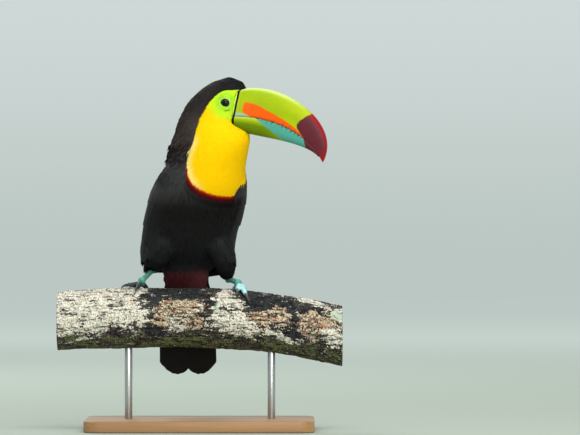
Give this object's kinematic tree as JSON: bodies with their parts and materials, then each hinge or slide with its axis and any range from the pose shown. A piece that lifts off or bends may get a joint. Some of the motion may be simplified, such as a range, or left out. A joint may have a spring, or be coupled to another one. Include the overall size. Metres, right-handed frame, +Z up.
{
  "type": "keel-billed toucan",
  "caption": "Life-size museum model of a keel-billed toucan gripping a cut length of branch, head turned to one side, held on a plain wooden stand by steel rods.",
  "frame": {"origin": "centre of the stand base's flat underside", "axes": "+Z up, +X along the branch toward the side that the bill points to, -Y the way the breast faces"},
  "size_m": [0.3, 0.15, 0.3698],
  "materials": {
    "feathers_black": "soft black plumage with a faint maroon cast on the nape",
    "feathers_yellow": "soft bright yellow plumage on the throat and breast, black on the nape",
    "feathers_red": "soft deep red plumage",
    "bill_upper_horn": "satin horn, yellow-green with an orange blade and a maroon tip",
    "bill_lower_horn": "satin horn, green at the base, light blue beyond and maroon at the tip",
    "eye": "wet dark gloss, nearly black with an olive iris",
    "leg_skin": "scaly blue-green skin",
    "claw": "dark horn",
    "bark": "rough dark bark with cream lichen patches and a mossy underside",
    "stand_wood": "satin oiled oak",
    "stand_steel": "brushed bright steel"
  },
  "bodies": {
    "root": {"trunk": "feathers_black", "neck": "feathers_yellow", "head": "feathers_black", "bill_upper": "bill_upper_horn", "bill_lower": "bill_lower_horn", "eye_left": "eye", "eye_right": "eye", "wing_left": "feathers_black", "wing_right": "feathers_black", "tail": "feathers_black", "tail_coverts": "feathers_red", "thigh_right": "feathers_black", "tarsus_right": "leg_skin", "toe_right_1": "leg_skin", "claw_right_1": "claw", "toe_right_2": "leg_skin", "claw_right_2": "claw", "toe_right_3": "leg_skin", "claw_right_3": "claw", "toe_right_4": "leg_skin", "claw_right_4": "claw", "thigh_left": "feathers_black", "tarsus_left": "leg_skin", "toe_left_1": "leg_skin", "claw_left_1": "claw", "toe_left_2": "leg_skin", "claw_left_2": "claw", "toe_left_3": "leg_skin", "claw_left_3": "claw", "toe_left_4": "leg_skin", "claw_left_4": "claw", "perch": "bark", "stand_base": "stand_wood", "stand_rod_left": "stand_steel", "stand_rod_right": "stand_steel"}
  },
  "joints": []
}
